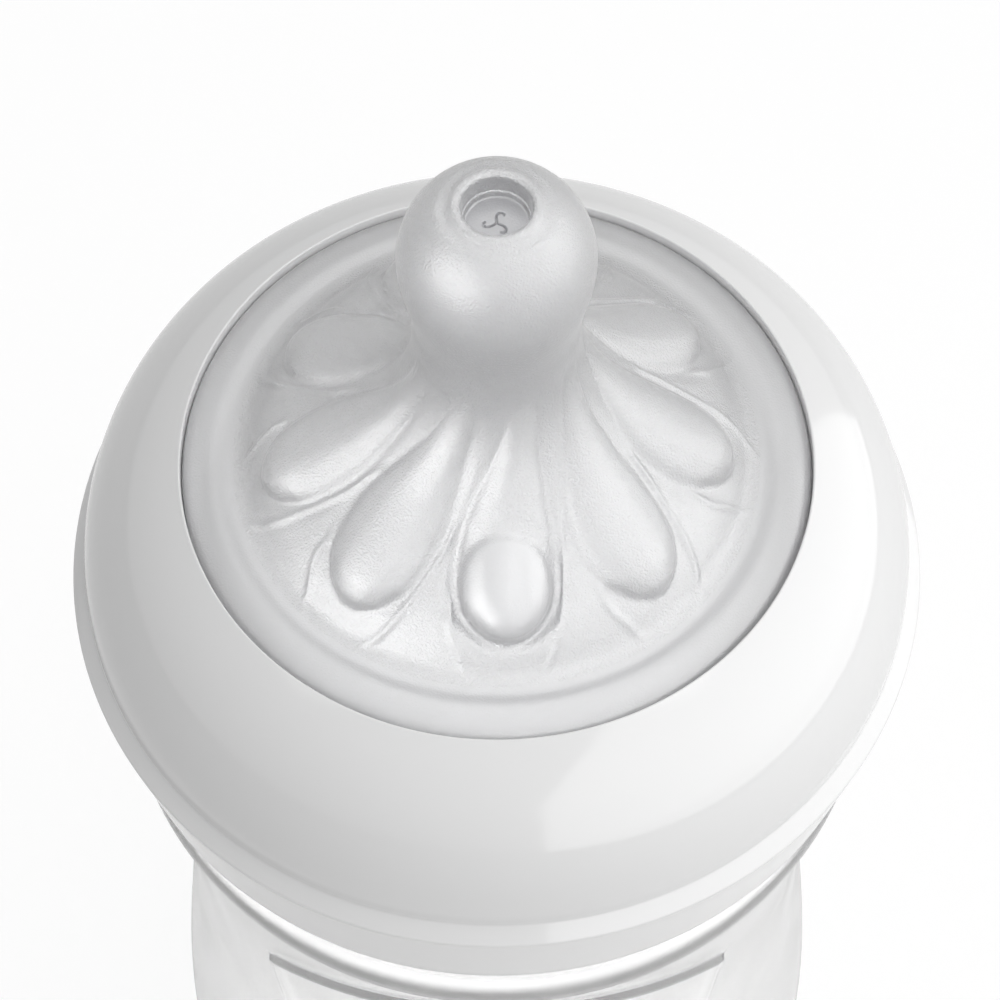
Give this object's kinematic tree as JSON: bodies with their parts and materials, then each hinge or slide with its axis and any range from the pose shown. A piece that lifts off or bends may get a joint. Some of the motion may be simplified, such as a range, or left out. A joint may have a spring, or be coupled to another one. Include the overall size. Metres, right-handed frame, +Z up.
{
  "type": "baby bottle",
  "caption": "Wide-neck feeding bottle: clear waisted body, white domed screw ring and soft petalled teat with a round nipple; the ring unscrews and lifts the teat off the neck.",
  "frame": {"origin": "middle of the base that the bottle stands on", "axes": "+Z up along the bottle's axis, towards the nipple; -Y is the front, where the raised panel is"},
  "size_m": [0.071, 0.0708, 0.1664],
  "materials": {
    "clear_body": "clear moulded polypropylene, glossy",
    "white_ring": "white moulded polypropylene, glossy",
    "soft_teat": "translucent silicone, fine matt grain with polished rim"
  },
  "bodies": {
    "bottle": {"bottle": "clear_body"},
    "teat": {"teat": "soft_teat"},
    "screw_ring": {"screw_ring": "white_ring"}
  },
  "joints": [
    {"name": "teat_lift", "type": "slide", "parent": "bottle", "child": "teat", "axis": [0, 0, 1], "range_m": [0, 0.0241]},
    {"name": "ring_turn", "type": "hinge", "parent": "teat", "child": "screw_ring", "pos_m": [0, 0, 0.1195], "axis": [0, 0, 1], "range_deg": [0, 720]}
  ],
  "couplings": [
    {"joint": "teat_lift", "follows": "ring_turn", "m_per_rad": 0.0019099}
  ]
}
